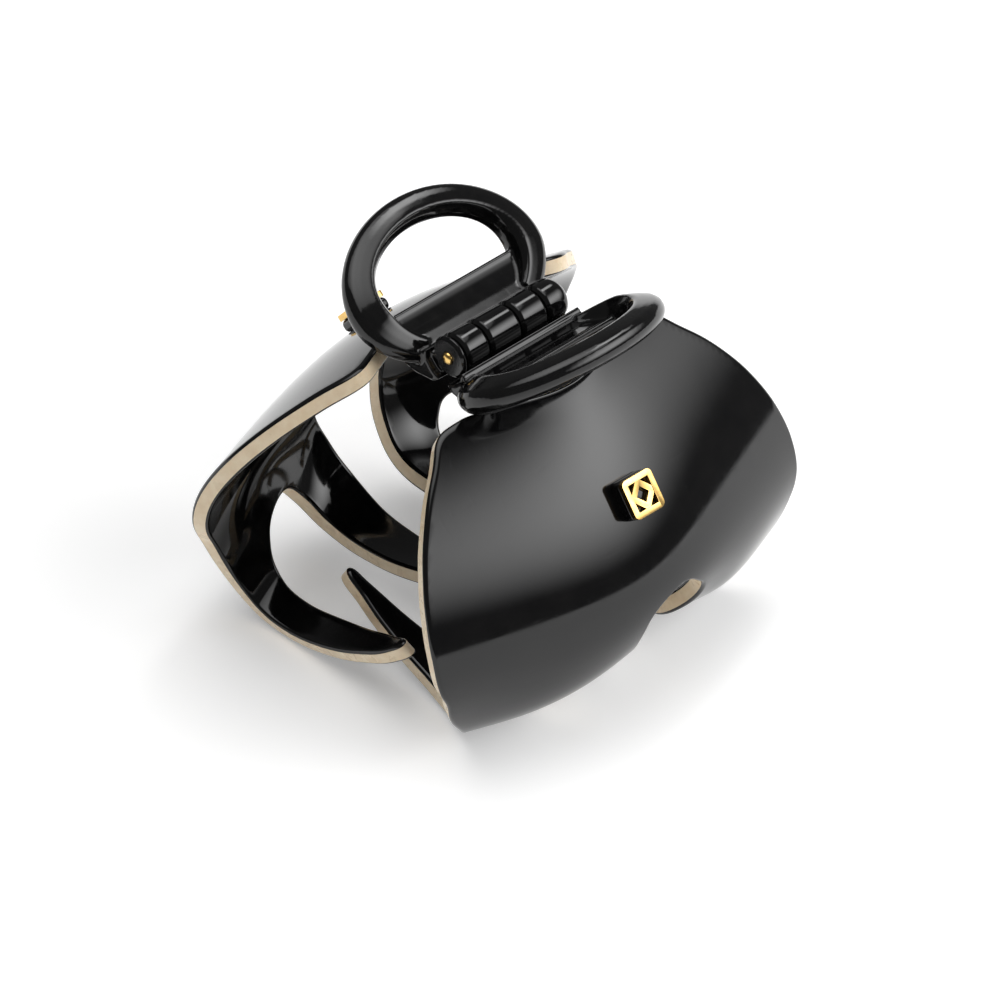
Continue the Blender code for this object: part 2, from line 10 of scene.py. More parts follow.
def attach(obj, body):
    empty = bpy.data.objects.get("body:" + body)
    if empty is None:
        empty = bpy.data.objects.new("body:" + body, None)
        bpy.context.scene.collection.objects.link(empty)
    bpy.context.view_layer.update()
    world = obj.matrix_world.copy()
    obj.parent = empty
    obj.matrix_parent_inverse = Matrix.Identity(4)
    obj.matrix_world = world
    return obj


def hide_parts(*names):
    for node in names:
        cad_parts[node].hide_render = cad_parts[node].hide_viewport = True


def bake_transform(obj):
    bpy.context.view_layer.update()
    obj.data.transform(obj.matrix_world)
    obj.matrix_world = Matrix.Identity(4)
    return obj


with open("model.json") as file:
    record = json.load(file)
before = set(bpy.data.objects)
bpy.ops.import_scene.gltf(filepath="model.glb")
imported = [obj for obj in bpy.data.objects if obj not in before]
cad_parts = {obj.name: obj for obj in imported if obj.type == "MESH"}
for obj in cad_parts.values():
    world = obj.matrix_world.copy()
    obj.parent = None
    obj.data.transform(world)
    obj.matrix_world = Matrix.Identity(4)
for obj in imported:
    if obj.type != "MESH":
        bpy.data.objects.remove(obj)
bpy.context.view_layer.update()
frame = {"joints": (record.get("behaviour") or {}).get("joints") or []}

# A claw hair clip: two formed jaws of laminated sheet, a moulded bracket with a finger loop
# inside each, a pin and a coil spring through the barrel, and a badge on each jaw.
# Metres, +Z up, hinge along X, back jaw at +Y.
MM = 0.001
HINGE_HEIGHT = frame["joints"][0]["pos_m"][2]

# ---------------------------------------------------------------- camera
# A long lens from the front left corner and above.
CAMERA_AZIMUTH = math.radians(-45.48)
CAMERA_HEIGHT = math.radians(39.56)
CAMERA_ROLL = math.radians(2.08)
CAMERA_DISTANCE = 1.593
CAMERA_LENS = 323.5
AIM_BELOW_HINGE = 18 * MM
AIM_DROP, AIM_SIDE = 16.6 * MM, 0.15 * MM    # from there to the middle of the view

away = Vector((math.sin(CAMERA_AZIMUTH) * math.cos(CAMERA_HEIGHT),
               -math.cos(CAMERA_AZIMUTH) * math.cos(CAMERA_HEIGHT), math.sin(CAMERA_HEIGHT)))
level = Vector((math.cos(CAMERA_AZIMUTH), math.sin(CAMERA_AZIMUTH), 0))
upright = away.cross(level)
across_view = level * math.cos(CAMERA_ROLL) + upright * math.sin(CAMERA_ROLL)
up_view = upright * math.cos(CAMERA_ROLL) - level * math.sin(CAMERA_ROLL)
aim = (Vector((0, 0, HINGE_HEIGHT - AIM_BELOW_HINGE)) - up_view * AIM_DROP
       + across_view * AIM_SIDE)
camera_data = bpy.data.cameras.new("camera")
camera_data.lens = CAMERA_LENS
camera = bpy.data.objects.new("camera", camera_data)
bpy.context.scene.collection.objects.link(camera)
facing = Matrix((across_view, up_view, away)).transposed().to_4x4()
camera.matrix_world = Matrix.Translation(aim + away * CAMERA_DISTANCE) @ facing
bpy.context.scene.camera = camera

# ---------------------------------------------------------------- jaws
# Each jaw is one sheet of acetate: a thick cream core between two thin black skins, cut to its
# outline with long curved teeth, heated and pressed to a double curve, then tumbled so that the
# edges are softly rounded and the cream shows all along them.
OUTER_SKIN = 0.6 * MM
CORE_BOTTOM = 3.0 * MM
SHEET = 3.5 * MM
EDGE_ROUND = 0.7 * MM
BLANK_LENGTH = 101 * MM
JAW_PROFILE = ((19.8, -4.2), (34.3, -19.2), (42.0, -32.8), (40.7, -43.4),
               (30.4, -53.8), (12.0, -54.0), (-7.0, -48.4))
JAW_HALF_WIDTH = (22.9, 44.9, 36.6, 35.0)
JAW_BOW = (9.7, 11.3, 6.9, 8.0)
JAW_DROOP = (1.9, -0.5, -5.3, 0.7)
BOW_SOFTNESS = 0.2
JAW_SWELL = {"back": (0.9, 0.9, -0.9, 0.9, -0.9, 0.9, -0.9, 0.9, 0.9),
             "front": (-0.5, 0.3, 1.2, -0.3, 0.6, 2.5, 2.5, 0.4, 0.0)}
SWELL_WIDTH = 96 * MM
SWELL_START, SWELL_FULL = 0.36, 0.60
CREST_RUN, CREST_RISE, CREST_CURL = 101.7, 88.0, 300   # the back sheet's reach to the shelf
NORMAL_STEP = 0.002           # of the sheet's length
SHEET_GRID, GRID_START = 1.0 * MM, 0.37 * MM
OUTLINE_STEP = 0.45 * MM
OUTLINE_RESOLUTION, OUTLINE_SOFTENING = 16, 6


def spline(values, place):
    """A cubic spline through evenly spaced values, at places from 0 to 1."""
    values = np.array(values, float)
    last = len(values) - 1
    system = np.zeros((last + 1, last + 1))
    system[0, :3] = system[last, -3:] = (1, -2, 1)
    bends = np.zeros(last + 1)
    for i in range(1, last):
        system[i, i - 1:i + 2] = (1, 4, 1)
        bends[i] = 6 * (values[i - 1] - 2 * values[i] + values[i + 1])
    bends = np.linalg.solve(system, bends)
    i = np.clip((place * last).astype(int), 0, last - 1)
    t = place * last - i
    return ((1 - t) * values[i] + t * values[i + 1]
            + ((1 - t) ** 3 - (1 - t)) * bends[i] / 6 + (t ** 3 - t) * bends[i + 1] / 6)


def smooth_face(across, along):
    """The pressed sheet's outer face before its teeth swell, from the hinge axis."""
    root = math.sqrt(BOW_SOFTNESS)
    beyond = np.minimum(along, 0)
    along = np.maximum(along, 0)
    side = across / (spline(JAW_HALF_WIDTH, along) * MM)
    fall = (np.sqrt(side ** 2 + BOW_SOFTNESS) - root) / (math.sqrt(1 + BOW_SOFTNESS) - root)
    out = spline([point[0] for point in JAW_PROFILE], along) - spline(JAW_BOW, along) * fall
    up = spline([point[1] for point in JAW_PROFILE], along) + spline(JAW_DROOP, along) * fall
    out = out + CREST_RUN * beyond
    up = up - CREST_RISE * beyond - CREST_CURL * beyond ** 2
    return np.stack([across, out * MM, up * MM], -1)


def outward_of(surface, across, along):
    """A surface's unit normals."""
    aside = NORMAL_STEP * BLANK_LENGTH
    right = surface(across + aside, along) - surface(across - aside, along)
    down = surface(across, along + NORMAL_STEP) - surface(across, along - NORMAL_STEP)
    normal = np.cross(right, down)
    return normal / np.linalg.norm(normal, axis=-1, keepdims=True)


def pressed(jaw, across, along, depth):
    """Points of the pressed sheet, a depth below its outer face, in the clip's own frame."""
    def face(x, v):
        ramp = np.clip((v - SWELL_START) / (SWELL_FULL - SWELL_START), 0, 1)
        ramp = ramp * ramp * (3 - 2 * ramp)
        swell = spline(JAW_SWELL[jaw], x / SWELL_WIDTH + 0.5) * MM * ramp
        return smooth_face(x, v) + outward_of(smooth_face, x, v) * swell[..., None]
    points = face(across, along) - outward_of(face, across, along) * depth[..., None]
    if jaw == "front":
        points = points * (-1, -1, 1)
    return points + (0, 0, HINGE_HEIGHT)


# The sheets' edges, as (mm across, fraction of the length), run down the right side from the top.
SIDE_EDGE = [(float(spline(JAW_HALF_WIDTH, np.array(v))), v)
             for v in (0.012, 0.06, 0.12, 0.19, 0.26, 0.33, 0.41)]
BACK_TOP = [(0.0, -0.0492), (5.0, -0.0417), (10.0, -0.0229), (14.0, -0.003), (16.0, 0.001),
            (20.0, 0.004)]
BACK_HALF = [(40.2, 0.52), (37.6, 0.61), (36.2, 0.70), (35.4, 0.80), (35.1, 0.90), (34.6, 0.965),
             (32.7, 0.998), (31.2, 0.965), (29.9, 0.90), (29.2, 0.84), (29.4, 0.76), (29.6, 0.68),
             (28.6, 0.60), (25.6, 0.55), (21.6, 0.54), (18.2, 0.58), (15.6, 0.66), (14.6, 0.75),
             (14.3, 0.85), (13.4, 0.95), (11.7, 0.998), (9.7, 0.965), (8.3, 0.92), (6.6, 0.86),
             (5.2, 0.76), (4.5, 0.66), (5.7, 0.56), (8.2, 0.43), (8.3, 0.34), (5.0, 0.285)]
FRONT_OUTER = [(42.8, 0.455), (40.6, 0.525), (36.2, 0.60), (31.6, 0.69), (28.7, 0.78),
               (27.9, 0.86), (27.3, 0.94), (25.9, 0.995), (24.4, 0.965)]
FRONT_SHORT = [(22.8, 0.91), (20.6, 0.82), (19.2, 0.73), (17.8, 0.65), (15.6, 0.61),
               (12.5, 0.60), (9.6, 0.62), (7.4, 0.68), (6.0, 0.76), (4.9, 0.85), (3.8, 0.94),
               (1.8, 0.99), (-0.6, 1.0), (-2.9, 0.97)]
FRONT_TALL = [(-4.2, 0.90), (-4.3, 0.80), (-2.6, 0.70), (0.6, 0.62), (3.4, 0.54), (3.4, 0.47),
              (1.8, 0.42), (-2.0, 0.385), (-5.6, 0.375), (-9.4, 0.41), (-12.4, 0.47),
              (-12.6, 0.56), (-10.6, 0.63), (-11.8, 0.69), (-16.0, 0.76), (-20.6, 0.83),
              (-22.8, 0.91)]


def mirrored(points):
    """The same edge on the other side, run the other way."""
    return [(-x, v) for x, v in reversed(points)]


OUTLINES = {
    "back": (BACK_TOP + SIDE_EDGE + BACK_HALF + mirrored(BACK_HALF) + mirrored(SIDE_EDGE)
             + mirrored(BACK_TOP[1:])),
    "front": (SIDE_EDGE + FRONT_OUTER + FRONT_SHORT + FRONT_TALL + mirrored(FRONT_OUTER)
              + mirrored(SIDE_EDGE))}


def drawn(knots):
    """A smooth closed outline through the knots, evenly divided, in metres on the flat sheet."""
    curve = bpy.data.curves.new("outline", "CURVE")
    curve.dimensions = "2D"
    curve.resolution_u = OUTLINE_RESOLUTION
    line = curve.splines.new("BEZIER")
    line.use_cyclic_u = True
    line.bezier_points.add(len(knots) - 1)
    for knot, (x, v) in zip(line.bezier_points, knots):
        knot.co = (x * MM, v * BLANK_LENGTH, 0)
        knot.handle_left_type = knot.handle_right_type = "AUTO"
    obj = bpy.data.objects.new("outline", curve)
    bpy.context.scene.collection.objects.link(obj)
    bpy.context.view_layer.update()
    mesh = bpy.data.meshes.new_from_object(obj)
    points = np.array([vert.co[:2] for vert in mesh.vertices])
    bpy.data.objects.remove(obj)
    closed = np.vstack([points, points[:1]])
    run = np.concatenate([[0], np.cumsum(np.linalg.norm(np.diff(closed, axis=0), axis=1))])
    count = int(run[-1] / OUTLINE_STEP)
    stops = np.linspace(0, run[-1], count, endpoint=False)
    points = np.stack([np.interp(stops, run, closed[:, axis]) for axis in (0, 1)], -1)
    for _ in range(OUTLINE_SOFTENING):
        points = (2 * points + np.roll(points, 1, 0) + np.roll(points, -1, 0)) / 4
    return points


def outward_2d(loop):
    """Unit normals of a closed outline, pointing out of it whichever way it runs."""
    along = np.roll(loop, -1, 0) - np.roll(loop, 1, 0)
    normal = np.stack([along[:, 1], -along[:, 0]], -1)
    normal /= np.linalg.norm(normal, axis=1, keepdims=True)
    area = np.sum(loop[:, 0] * np.roll(loop[:, 1], -1) - np.roll(loop[:, 0], -1) * loop[:, 1])
    return normal * np.sign(area)


def flat_sheet(jaw):
    """The sheet's flat face inside its rounded edge, as points, polygons and its edge loop."""
    loop = drawn(OUTLINES[jaw])
    loop = loop - outward_2d(loop) * EDGE_ROUND
    work = bmesh.new()
    work.faces.new([work.verts.new((x, y, 0)) for x, y in loop])
    for axis in (0, 1):
        low, high = loop[:, axis].min(), loop[:, axis].max()
        for place in np.arange(low + GRID_START, high, SHEET_GRID):
            point = [0, 0, 0]
            point[axis] = place
            normal = [0, 0, 0]
            normal[axis] = 1
            every = work.verts[:] + work.edges[:] + work.faces[:]
            bmesh.ops.bisect_plane(work, geom=every, plane_co=point, plane_no=normal,
                                   dist=0.01 * MM)
    work.verts.index_update()
    rim = [edge for edge in work.edges if edge.is_boundary]
    follow = {}
    for edge in rim:
        a, b = (vert.index for vert in edge.verts)
        follow.setdefault(a, []).append(b)
        follow.setdefault(b, []).append(a)
    start = rim[0].verts[0].index
    order = [start, follow[start][0]]
    while True:
        ahead = [i for i in follow[order[-1]] if i != order[-2]][0]
        if ahead == start:
            break
        order.append(ahead)
    points = np.array([vert.co[:2] for vert in work.verts])
    polygons = [[vert.index for vert in face.verts] for face in work.faces]
    work.free()
    return points, polygons, order


def piece_from(name, points, faces, finish, sharp=40, weld=0.0):
    """An object from points and faces, its normals outward and its place in its mesh."""
    mesh = bpy.data.meshes.new(name)
    mesh.from_pydata(points, [], faces)
    work = bmesh.new()
    work.from_mesh(mesh)
    if weld:
        bmesh.ops.remove_doubles(work, verts=work.verts, dist=weld)
    bmesh.ops.recalc_face_normals(work, faces=work.faces)
    work.to_mesh(mesh)
    work.free()
    mesh.shade_smooth()
    mesh.set_sharp_from_angle(angle=math.radians(sharp))
    mesh.materials.append(finish)
    piece = bpy.data.objects.new(name, mesh)
    bpy.context.scene.collection.objects.link(piece)
    return piece


def layer(jaw, name, flat, top, bottom, rings, finish):
    """One layer of the sheet, with its edge going down through (depth, set-in) rings."""
    points, polygons, order = flat
    loop = points[order]
    normal = outward_2d(loop)
    count, size = len(points), len(order)
    places = [np.column_stack([points, np.full(count, top)])]
    for depth, set_in in rings:
        places.append(np.column_stack([loop + normal * (EDGE_ROUND - set_in),
                                       np.full(size, depth)]))
    places.append(np.column_stack([points, np.full(count, bottom)]))
    under = count + size * len(rings)
    loops = [order] + [[count + size * ring + i for i in range(size)]
                       for ring in range(len(rings))] + [[under + i for i in order]]
    faces = [list(polygon) for polygon in polygons]
    faces += [[under + i for i in reversed(polygon)] for polygon in polygons]
    for upper, lower in zip(loops, loops[1:]):
        faces += [[upper[i], upper[(i + 1) % size], lower[(i + 1) % size], lower[i]]
                  for i in range(size)]
    places = np.vstack(places)
    spots = pressed(jaw, places[:, 0], places[:, 1] / BLANK_LENGTH, places[:, 2])
    return piece_from(name, spots.tolist(), faces, finish)


def ordinary(name, colour, roughness, metallic=0.0):
    """A material with its shader's plain values set."""
    made = bpy.data.materials.new(name)
    made.use_nodes = True
    shader = made.node_tree.nodes["Principled BSDF"]
    shader.inputs["Base Color"].default_value = (*colour, 1)
    shader.inputs["Roughness"].default_value = roughness
    shader.inputs["Metallic"].default_value = metallic
    return made, shader


def effect(name, inputs, outputs):
    """An empty shared effect with its sockets, its nodes and its ends."""
    group = bpy.data.node_groups.new(name, "ShaderNodeTree")
    for socket, kind in inputs:
        group.interface.new_socket(socket, in_out="INPUT", socket_type=kind)
    for socket in outputs:
        group.interface.new_socket(socket, in_out="OUTPUT", socket_type="NodeSocketFloat")
    return group, group.nodes.new("NodeGroupInput"), group.nodes.new("NodeGroupOutput")


def noise_of(tree, place, scale, detail, roughness=0.5):
    """Noise at a scale, on a place that another node gives."""
    noise = tree.nodes.new("ShaderNodeTexNoise")
    noise.inputs["Scale"].default_value = scale
    noise.inputs["Detail"].default_value = detail
    noise.inputs["Roughness"].default_value = roughness
    tree.links.new(place, noise.inputs["Vector"])
    return noise.outputs["Fac"]


def ranged(tree, value, low, high, new_low, new_high):
    """A value taken from one range to another."""
    change = tree.nodes.new("ShaderNodeMapRange")
    for socket, number in (("From Min", low), ("From Max", high), ("To Min", new_low),
                           ("To Max", new_high)):
        change.inputs[socket].default_value = number
    tree.links.new(value, change.inputs["Value"])
    return change.outputs["Result"]


# Hand polish: slow waves left by the wheel, fine hairline scratches, and a faint haze.
WAVE_SCALE, HAZE_SCALE, SCRATCH_SCALE = 70, 260, 900
HAZE_RANGE, SCRATCH_RANGE = (0.35, 0.7), (0.66, 0.74)
SCRATCH_STRETCHES = ((1.0, 0.04, 0.5), (0.05, 1.0, 0.6))
SCRATCH_ROUGHNESS = 0.05
TINT_DETAIL, TINT_ROUGHNESS = 5, 0.55
polish, polish_in, polish_out = effect("hand_polish", (("Place", "NodeSocketVector"),),
                                       ("Waves", "Haze", "Scratches"))
place = polish_in.outputs["Place"]
polish.links.new(noise_of(polish, place, WAVE_SCALE, 2), polish_out.inputs["Waves"])
polish.links.new(noise_of(polish, place, HAZE_SCALE, 4, 0.6), polish_out.inputs["Haze"])
scratches = []
for stretch in SCRATCH_STRETCHES:
    squeeze = polish.nodes.new("ShaderNodeMapping")
    squeeze.inputs["Scale"].default_value = stretch
    polish.links.new(place, squeeze.inputs["Vector"])
    grain = noise_of(polish, squeeze.outputs["Vector"], SCRATCH_SCALE, 2)
    scratches.append(ranged(polish, grain, *SCRATCH_RANGE, 0, 1))
both = polish.nodes.new("ShaderNodeMath")
both.operation = "MAXIMUM"
polish.links.new(scratches[0], both.inputs[0])
polish.links.new(scratches[1], both.inputs[1])
polish.links.new(both.outputs["Value"], polish_out.inputs["Scratches"])


def polished(made, shader, smooth, hazy, wave_depth, mark_depth):
    """Gives a material the hand polish: its roughness range, wave depth and scratch depth."""
    tree = made.node_tree
    place = tree.nodes.new("ShaderNodeTexCoord")
    marks = tree.nodes.new("ShaderNodeGroup")
    marks.node_tree = polish
    tree.links.new(place.outputs["Object"], marks.inputs["Place"])
    haze = ranged(tree, marks.outputs["Haze"], *HAZE_RANGE, smooth, hazy)
    rough = tree.nodes.new("ShaderNodeMath")
    rough.operation = "MULTIPLY_ADD"
    rough.inputs[1].default_value = SCRATCH_ROUGHNESS
    tree.links.new(marks.outputs["Scratches"], rough.inputs[0])
    tree.links.new(haze, rough.inputs[2])
    tree.links.new(rough.outputs["Value"], shader.inputs["Roughness"])
    waves = tree.nodes.new("ShaderNodeBump")
    waves.inputs["Strength"].default_value = 1
    waves.inputs["Distance"].default_value = wave_depth
    tree.links.new(marks.outputs["Waves"], waves.inputs["Height"])
    nicks = tree.nodes.new("ShaderNodeBump")
    nicks.invert = True
    nicks.inputs["Strength"].default_value = 1
    nicks.inputs["Distance"].default_value = mark_depth
    tree.links.new(marks.outputs["Scratches"], nicks.inputs["Height"])
    tree.links.new(waves.outputs["Normal"], nicks.inputs["Normal"])
    tree.links.new(nicks.outputs["Normal"], shader.inputs["Normal"])


def tinted(made, shader, scale, low, high, dark, light):
    """Gives a material's colour a slow variation between two tones."""
    tree = made.node_tree
    place = tree.nodes.new("ShaderNodeTexCoord")
    field = noise_of(tree, place.outputs["Object"], scale, TINT_DETAIL, TINT_ROUGHNESS)
    tones = tree.nodes.new("ShaderNodeValToRGB")
    tones.color_ramp.elements[0].position = low
    tones.color_ramp.elements[0].color = (*dark, 1)
    tones.color_ramp.elements[1].position = high
    tones.color_ramp.elements[1].color = (*light, 1)
    tree.links.new(field, tones.inputs["Fac"])
    tree.links.new(tones.outputs["Color"], shader.inputs["Base Color"])


black_skin, black_shader = ordinary("black_acetate", (0.003, 0.003, 0.0034), 0.08)
tinted(black_skin, black_shader, 180, 0.35, 0.7, (0.0022, 0.0022, 0.0025),
       (0.0045, 0.0043, 0.0044))
polished(black_skin, black_shader, 0.055, 0.11, 0.012 * MM, 0.0015 * MM)
cream_core, cream_shader = ordinary("cream_acetate", (0.78, 0.64, 0.44), 0.32)
cream_shader.inputs["Subsurface Weight"].default_value = 0.15
cream_shader.inputs["Subsurface Radius"].default_value = (1.2 * MM, 0.8 * MM, 0.5 * MM)
tinted(cream_core, cream_shader, 420, 0.3, 0.75, (0.76, 0.60, 0.40), (0.86, 0.73, 0.53))
polished(cream_core, cream_shader, 0.24, 0.42, 0.01 * MM, 0.002 * MM)

# How far the tumbled edge has turned at each of its rings.
ROUNDING = [math.radians(angle) for angle in (12, 26, 42, 58, 70, 81.8)]
OUTER_RINGS = [(EDGE_ROUND * (1 - math.cos(a)), EDGE_ROUND * (1 - math.sin(a))) for a in ROUNDING]
INNER_RINGS = [(SHEET - depth, set_in) for depth, set_in in reversed(OUTER_RINGS)
               if SHEET - depth > CORE_BOTTOM]
HAIRLINE, INNER_SET_IN = 0.01 * MM, 0.03 * MM
for jaw in ("back", "front"):
    flat = flat_sheet(jaw)
    outer = layer(jaw, f"{jaw}_jaw_outer_skin", flat, 0, OUTER_SKIN, OUTER_RINGS, black_skin)
    core = layer(jaw, f"{jaw}_jaw_core", flat, OUTER_SKIN + HAIRLINE, CORE_BOTTOM - HAIRLINE,
                 [(OUTER_SKIN + HAIRLINE, 0), (CORE_BOTTOM - HAIRLINE, 0)], cream_core)
    inner = layer(jaw, f"{jaw}_jaw_inner_skin", flat, CORE_BOTTOM, SHEET,
                  [(CORE_BOTTOM, INNER_SET_IN)] + INNER_RINGS, black_skin)
    for piece, node, slot in ((outer, "outer_skin", "black_sheet"), (core, "core", "cream_sheet"),
                              (inner, "inner_skin", "black_sheet")):
        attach(piece, f"{jaw}_jaw")
        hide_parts(f"{jaw}_{node}")

# ---------------------------------------------------------------- brackets
# One black moulding inside each jaw: a dished shelf behind the barrel with a lip along both
# edges, a finger loop with a crested rim growing out of its ends, and a web down to a foot that
# is cemented under the sheet. Its knuckles interleave with the other bracket's to make the barrel.
LOOP_LEAN = math.radians(54.5)
LOOP_FOOT = (11.2, 0.4)
LOOP_HALF_WIDTH, LOOP_CENTRE, LOOP_HEIGHT = 18.1, 4.4, 13.2
LOOP_WRAP, LOOP_STEPS = math.radians(47), 81
LOOP_FLARE, FLARE_MIDDLE, FLARE_REACH = 0.24, math.radians(-10), math.radians(34)
LEG_TAPER = 0.35              # how fast a leg thins below its flare, per radian
LOOP_SECTION = ((3.05, 0.0), (2.85, 1.0), (2.1, 1.75), (0.8, 2.3), (-0.7, 2.8), (-1.3, 2.85),
                (-2.0, 2.0), (-2.75, 0.5), (-2.8, -0.8), (-2.1, -1.9), (-0.6, -2.45),
                (1.1, -2.4), (2.4, -1.6), (2.95, -0.7))
SHELF = ((4.5, -0.35), (5.1, -0.5), (5.5, -1.2), (8.5, -0.35), (11.3, 1.1), (12.3, 1.75),
         (12.5, 2.15), (13.2, 2.25), (13.4, 1.6), (12.3, -0.8), (11.8, -3.4), (10.6, -6.0),
         (7.0, -6.6), (2.4, -6.0), (1.0, -4.75), (2.9, -3.7), (4.3, -2.2))
ARM = ((1.0, -3.0), (2.9, -0.8), (6.5, -1.4), (11.0, -0.6), (12.0, -1.6), (11.8, -3.4),
       (10.6, -6.0), (7.0, -6.6), (2.4, -6.0))
SHELF_HALF_WIDTH = 14.4
FOOT_HALF_WIDTH, FOOT_THICKNESS = 9.0, 1.8
FOOT_START, FOOT_END = 0.015, 0.17       # along the sheet, as fractions of its length
FOOT_COLUMNS, FOOT_ROWS = 13, 9
WEB_HALF_WIDTH, WEB_THICKNESS = 5.5, 2.4
WEB_TOP, WEB_LANDING, WEB_SINK = (10.8, -5.2), 0.09, 1.3 * MM   # lands along the sheet too
UNDER_SHEET = 0.3 * MM
KNUCKLES = {"back": ((-13.2, -11.9), (-6.0, 1.4), (8.1, 14.0)),
            "front": ((-11.6, -6.3), (1.7, 7.8))}
# A barrel segment's end as (chamfers in from it, radius), its closed one as (mm in, radius).
KNUCKLE_END = ((0, 3.45), (0.1, 3.51), (0.8, 3.86), (1.0, 3.95), (1.2, 3.99), (1.4, 4.0))
DOMED_END = ((3.0, 4.0), (2.0, 3.9), (1.2, 3.55), (0.55, 2.85), (0.15, 1.7), (0, 0))
CHAMFER, CHAMFER_SHARE = 0.55, 0.35
MIDDLE_RADIUS, BORE_RADIUS, POCKET_RADIUS = 4.03, 1.3, 3.1
POCKET_END, BLIND_END = 0.2, 11.9
KNUCKLE_SHARP = 28
MOULD_GRAIN = 0.25 * MM
MOULD_SOFTENING = 7
WELD = 0.0005 * MM


def skinned(rings, closed=False):
    """The points and faces of a solid through a row of rings, capped or closed on itself."""
    size, last = len(rings[0]), len(rings)
    points = [tuple(point) for ring in rings for point in ring]
    faces = [] if closed else [list(range(size)), list(range(len(points) - size, len(points)))]
    for n in range(last if closed else last - 1):
        here, ahead = n * size, (n + 1) % last * size
        faces += [[here + i, here + (i + 1) % size, ahead + (i + 1) % size, ahead + i]
                  for i in range(size)]
    return points, faces


def made_of(name, solids, finish, sharp=40):
    """One object from closed solids."""
    points, faces = [], []
    for solid_points, solid_faces in solids:
        faces += [[len(points) + i for i in face] for face in solid_faces]
        points += solid_points
    return piece_from(name, points, faces, finish, sharp, WELD)


def standing(jaw, x, out, up):
    """A place in metres from one in mm from the hinge axis, outward on that jaw's side."""
    side = 1 if jaw == "back" else -1
    return (x * MM, side * out * MM, up * MM + HINGE_HEIGHT)


def prism(jaw, outline, start, end):
    """A solid of one outline from one end of the hinge toward the other."""
    return skinned([[standing(jaw, x, out, up) for out, up in outline] for x in (start, end)])


def loop_rings(jaw):
    """The finger loop's crested bar, thicker where its legs curl in to the shelf."""
    rings = []
    for turn in np.linspace(-LOOP_WRAP, math.pi + LOOP_WRAP, LOOP_STEPS):
        lean = np.array((LOOP_HEIGHT * math.cos(turn), LOOP_HALF_WIDTH * math.sin(turn)))
        lean /= np.linalg.norm(lean)
        low = min(turn, math.pi - turn)
        size = 1 + LOOP_FLARE * math.exp(-((low - FLARE_MIDDLE) / FLARE_REACH) ** 2)
        size *= 1 - max(0, FLARE_MIDDLE - low) * LEG_TAPER
        ring = []
        for away_from_hole, lift in LOOP_SECTION:
            x = LOOP_HALF_WIDTH * math.cos(turn) + away_from_hole * size * lean[0]
            rise = LOOP_CENTRE + LOOP_HEIGHT * math.sin(turn) + away_from_hole * size * lean[1]
            out = LOOP_FOOT[0] + rise * math.sin(LOOP_LEAN) - lift * size * math.cos(LOOP_LEAN)
            up = LOOP_FOOT[1] + rise * math.cos(LOOP_LEAN) + lift * size * math.sin(LOOP_LEAN)
            ring.append(standing(jaw, x, out, up))
        rings.append(ring)
    return rings


def foot_rings(jaw):
    """The foot, formed to the sheet's own curve under its inner skin."""
    across = np.linspace(-FOOT_HALF_WIDTH, FOOT_HALF_WIDTH, FOOT_COLUMNS) * MM
    upper_face = np.full(FOOT_COLUMNS, SHEET + UNDER_SHEET)
    lower_face = np.full(FOOT_COLUMNS, SHEET + UNDER_SHEET + FOOT_THICKNESS * MM)
    rings = []
    for place in np.linspace(FOOT_START, FOOT_END, FOOT_ROWS):
        along = np.full(FOOT_COLUMNS, place)
        rings.append([*pressed(jaw, across, along, upper_face),
                      *pressed(jaw, across[::-1], along, lower_face)])
    return rings


def web_rings(jaw):
    """The web between the shelf and the foot."""
    side = 1 if jaw == "back" else -1
    foot_point = pressed(jaw, np.zeros(1), np.full(1, WEB_LANDING),
                         np.full(1, SHEET + WEB_SINK))[0]
    foot_place = (side * foot_point[1] / MM, (foot_point[2] - HINGE_HEIGHT) / MM)
    run = np.subtract(foot_place, WEB_TOP)
    over = np.array((-run[1], run[0])) / np.linalg.norm(run) * WEB_THICKNESS / 2
    rings = []
    for place in (WEB_TOP, foot_place):
        upper, lower = np.add(place, over), np.subtract(place, over)
        rings.append([standing(jaw, x, *spot) for x, spot in
                      ((-WEB_HALF_WIDTH, upper), (WEB_HALF_WIDTH, upper),
                       (WEB_HALF_WIDTH, lower), (-WEB_HALF_WIDTH, lower))])
    return rings


def turned(profile, steps=64):
    """A closed (x, radius) profile turned about the hinge axis."""
    rings = []
    for turn in np.linspace(0, 2 * math.pi, steps, endpoint=False):
        rings.append([(x * MM, radius * math.cos(turn) * MM,
                       radius * math.sin(turn) * MM + HINGE_HEIGHT) for x, radius in profile])
    return skinned(rings, closed=True)


def knuckle(start, end):
    """One barrel segment, slightly full in the middle, with chamfered ends and its bore."""
    chamfer = min(CHAMFER, (end - start) * CHAMFER_SHARE)
    flank = [(start + chamfer * inward, radius) for inward, radius in KNUCKLE_END]
    if end > BLIND_END:
        dome = [(end - inward, radius) for inward, radius in DOMED_END]
        return flank + dome + [(BLIND_END, 0), (BLIND_END, BORE_RADIUS), (start, BORE_RADIUS)]
    far = [(start + end - x, radius) for x, radius in reversed(flank)]
    wall = flank + [((start + end) / 2, MIDDLE_RADIUS)] + far + [(end, BORE_RADIUS)]
    if start < POCKET_END < end:
        return wall + [(POCKET_END, BORE_RADIUS), (POCKET_END, POCKET_RADIUS),
                       (start, POCKET_RADIUS)]
    return wall + [(start, BORE_RADIUS)]


